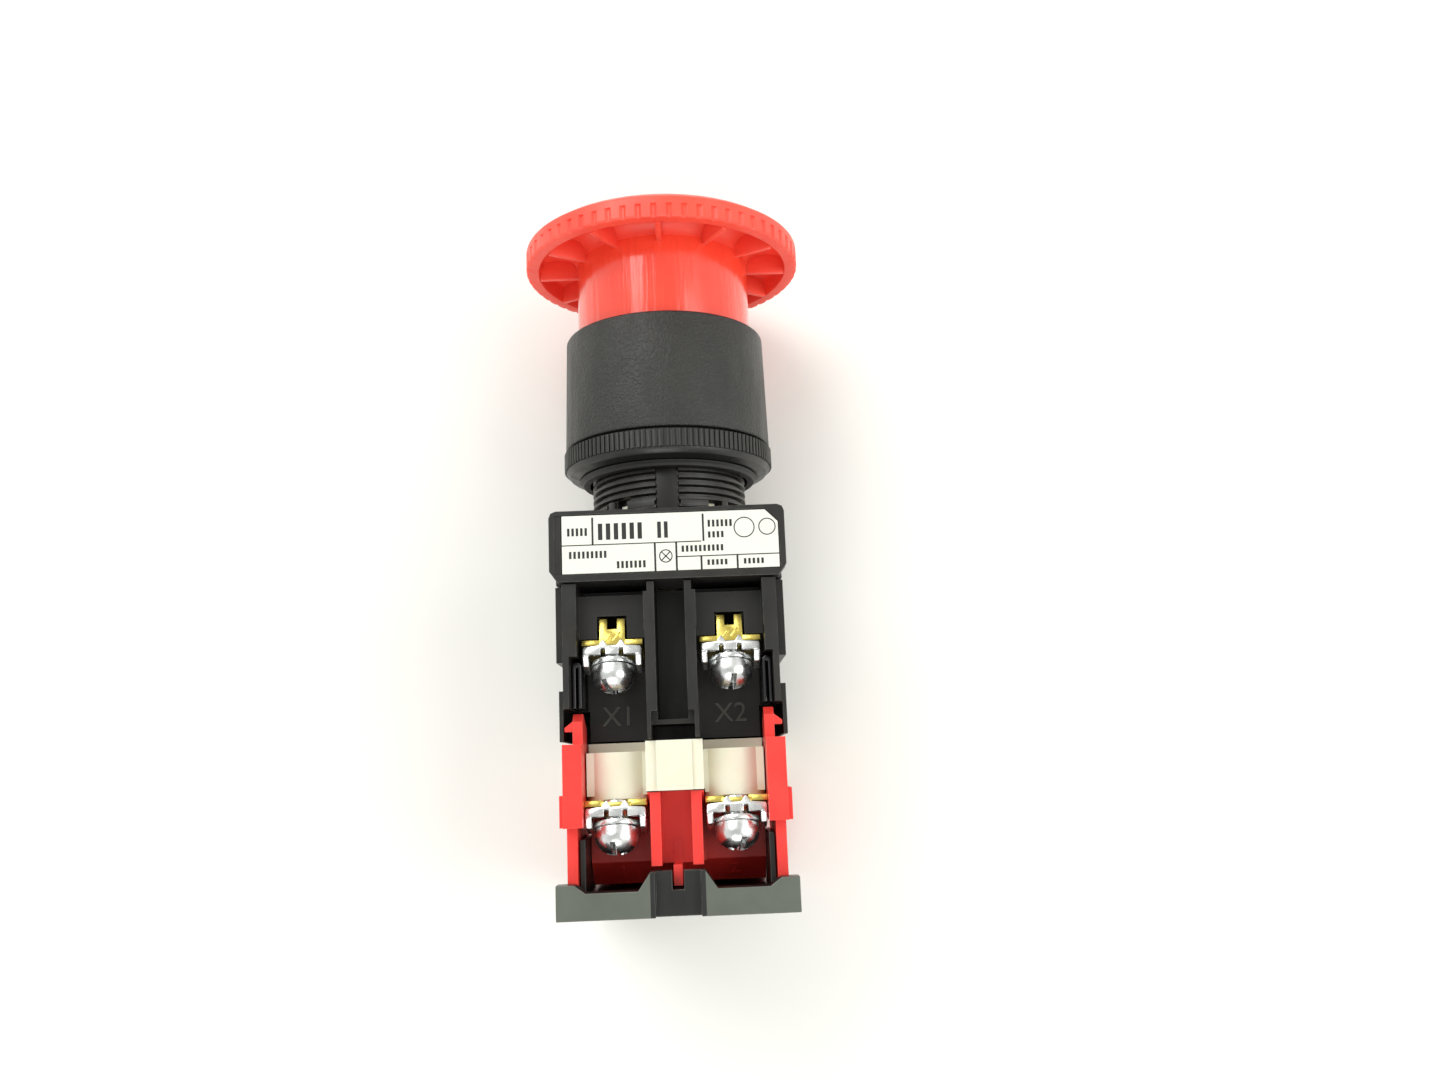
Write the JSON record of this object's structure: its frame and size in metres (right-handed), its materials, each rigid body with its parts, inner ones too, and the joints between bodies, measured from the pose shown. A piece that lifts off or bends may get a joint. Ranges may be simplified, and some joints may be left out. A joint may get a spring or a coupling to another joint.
{
  "type": "emergency stop button",
  "caption": "Illuminated mushroom push button that locks when pushed and resets when turned, with a screw-on panel ring, lamp unit and contact block.",
  "frame": {"origin": "on the button's axis, 1.2 mm behind the rear face of the gasket that the ring clamps", "axes": "+Y along the axis from the mushroom to the contact block, +Z towards the label and terminal screws, +X towards the first terminal of each pair"},
  "size_m": [0.04, 0.0963, 0.04],
  "materials": {
    "red_cap": "bright orange-red moulded plastic, glossy",
    "red_plastic": "red moulded plastic, satin",
    "black_grain": "black plastic with a fine leather grain",
    "black_plastic": "black moulded plastic",
    "black_ring": "black moulded plastic, knurled",
    "gloss_black": "glossy black plastic",
    "ivory": "ivory moulded plastic",
    "label_white": "off-white printed label, satin",
    "rubber": "black rubber",
    "brass": "bright stamped brass",
    "zinc": "bright zinc-plated steel",
    "spring_steel": "plain spring wire",
    "lens": "milky white lamp lens"
  },
  "bodies": {
    "base": {"collar": "black_grain", "threaded_neck": "black_plastic", "latch_ring": "zinc", "label_housing": "black_plastic", "label_plate": "label_white", "lamp_unit_body": "black_plastic", "lamp_holder": "ivory", "led_lamp": "lens", "lamp_base": "brass", "contact_front": "ivory", "contact_block_body": "red_plastic", "contact_spring": "spring_steel", "end_cover": "black_plastic", "retaining_tongue_left": "gloss_black", "latch_arm_left": "red_plastic", "lamp_terminal_left": "brass", "contact_terminal_left": "brass", "retaining_tongue_right": "gloss_black", "latch_arm_right": "red_plastic", "lamp_terminal_right": "brass", "contact_terminal_right": "brass"},
    "pusher": {"pusher": "black_plastic", "return_spring": "spring_steel", "turn_spring": "spring_steel"},
    "cap": {"mushroom_cap": "red_cap", "operator_shaft": "red_plastic"},
    "contact_carrier": {"contact_plunger": "ivory", "contact_bridge": "brass"},
    "gasket": {"panel_gasket": "rubber"},
    "locking_ring": {"locking_ring": "black_ring"},
    "lock_pin_left": {"lock_pin_left": "zinc"},
    "lamp_clamp_left": {"lamp_clamp_left": "zinc", "lamp_spring_washer_left": "zinc"},
    "lamp_screw_left": {"lamp_screw_left": "zinc"},
    "contact_clamp_left": {"contact_clamp_left": "zinc", "contact_spring_washer_left": "zinc"},
    "contact_screw_left": {"contact_screw_left": "zinc"},
    "lock_pin_right": {"lock_pin_right": "zinc"},
    "lamp_clamp_right": {"lamp_clamp_right": "zinc", "lamp_spring_washer_right": "zinc"},
    "lamp_screw_right": {"lamp_screw_right": "zinc"},
    "contact_clamp_right": {"contact_clamp_right": "zinc", "contact_spring_washer_right": "zinc"},
    "contact_screw_right": {"contact_screw_right": "zinc"}
  },
  "joints": [
    {"name": "push", "type": "slide", "parent": "base", "child": "pusher", "axis": [0, 1, 0], "range_m": [0, 0.0045], "stiffness_N_per_m": 2500, "springref_m": -0.002, "deforming": ["return_spring"]},
    {"name": "turn_to_reset", "type": "hinge", "parent": "pusher", "child": "cap", "pos_m": [0, 0, 0], "axis": [0, 1, 0], "range_deg": [0, 40], "stiffness_Nm_per_rad": 0.15, "deforming": ["turn_spring"]},
    {"name": "contact_travel", "type": "slide", "parent": "base", "child": "contact_carrier", "axis": [0, 1, 0], "range_m": [0, 0.0045], "deforming": ["contact_spring"]},
    {"name": "ring_travel", "type": "slide", "parent": "base", "child": "gasket", "axis": [0, 1, 0], "range_m": [0, 0.003]},
    {"name": "ring_turn", "type": "hinge", "parent": "gasket", "child": "locking_ring", "pos_m": [0, 0, 0], "axis": [0, 1, 0], "range_deg": [0, 1080]},
    {"name": "lock_pin_left_slide", "type": "slide", "parent": "cap", "child": "lock_pin_left", "axis": [1, 0, 0], "range_m": [0, 0.00045]},
    {"name": "lamp_clamp_left_lift", "type": "slide", "parent": "base", "child": "lamp_clamp_left", "axis": [0, 0.9659, 0.2588], "range_m": [0, 0.0018]},
    {"name": "lamp_screw_left_turn", "type": "hinge", "parent": "lamp_clamp_left", "child": "lamp_screw_left", "pos_m": [0.0075, 0.0238, 0.0143], "axis": [0, 0.9659, 0.2588], "range_deg": [0, 1080]},
    {"name": "contact_clamp_left_lift", "type": "slide", "parent": "base", "child": "contact_clamp_left", "axis": [0, 0.9659, 0.2588], "range_m": [0, 0.0018]},
    {"name": "contact_screw_left_turn", "type": "hinge", "parent": "contact_clamp_left", "child": "contact_screw_left", "pos_m": [0.0075, 0.0438, 0.0143], "axis": [0, 0.9659, 0.2588], "range_deg": [0, 1080]},
    {"name": "lock_pin_right_slide", "type": "slide", "parent": "cap", "child": "lock_pin_right", "axis": [-1, 0, 0], "range_m": [0, 0.00045]},
    {"name": "lamp_clamp_right_lift", "type": "slide", "parent": "base", "child": "lamp_clamp_right", "axis": [0, 0.9659, 0.2588], "range_m": [0, 0.0018]},
    {"name": "lamp_screw_right_turn", "type": "hinge", "parent": "lamp_clamp_right", "child": "lamp_screw_right", "pos_m": [-0.0075, 0.0238, 0.0143], "axis": [0, 0.9659, 0.2588], "range_deg": [0, 1080]},
    {"name": "contact_clamp_right_lift", "type": "slide", "parent": "base", "child": "contact_clamp_right", "axis": [0, 0.9659, 0.2588], "range_m": [0, 0.0018]},
    {"name": "contact_screw_right_turn", "type": "hinge", "parent": "contact_clamp_right", "child": "contact_screw_right", "pos_m": [-0.0075, 0.0438, 0.0143], "axis": [0, 0.9659, 0.2588], "range_deg": [0, 1080]}
  ],
  "couplings": [
    {"joint": "contact_travel", "follows": "push", "ratio": 1},
    {"joint": "ring_travel", "follows": "ring_turn", "m_per_rad": 0.00015915},
    {"joint": "lock_pin_left_slide", "follows": "push", "ratio": 0.1},
    {"joint": "lamp_clamp_left_lift", "follows": "lamp_screw_left_turn", "m_per_rad": 0.000095493},
    {"joint": "contact_clamp_left_lift", "follows": "contact_screw_left_turn", "m_per_rad": 0.000095493},
    {"joint": "lock_pin_right_slide", "follows": "push", "ratio": 0.1},
    {"joint": "lamp_clamp_right_lift", "follows": "lamp_screw_right_turn", "m_per_rad": 0.000095493},
    {"joint": "contact_clamp_right_lift", "follows": "contact_screw_right_turn", "m_per_rad": 0.000095493}
  ]
}
